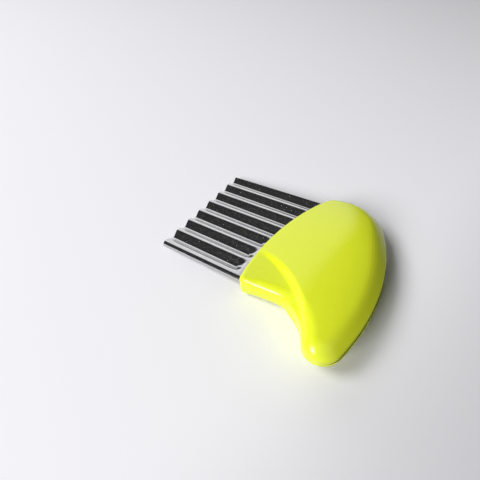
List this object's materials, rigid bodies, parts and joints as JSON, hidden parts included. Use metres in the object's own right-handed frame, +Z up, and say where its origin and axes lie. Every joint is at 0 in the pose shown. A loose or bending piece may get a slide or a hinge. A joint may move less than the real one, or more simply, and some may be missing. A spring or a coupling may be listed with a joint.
{
  "type": "crinkle cutter",
  "caption": "Hand-held crinkle cutter: corrugated sheet blade gripped between two smooth palm-shaped shells with a finger notch.",
  "frame": {"origin": "centre of the bounding box in plan, at the level of the table the cutter lies on", "axes": "+X from the cutting edge towards the back of the handle, +Y across the blade away from the finger notch, +Z up from the table"},
  "size_m": [0.1044, 0.0918, 0.0201],
  "materials": {
    "handle_plastic": "smooth gloss lime-green",
    "blade_steel": "polished stainless sheet"
  },
  "bodies": {
    "root": {"upper_shell": "handle_plastic", "lower_shell": "handle_plastic", "blade": "blade_steel"}
  },
  "joints": []
}
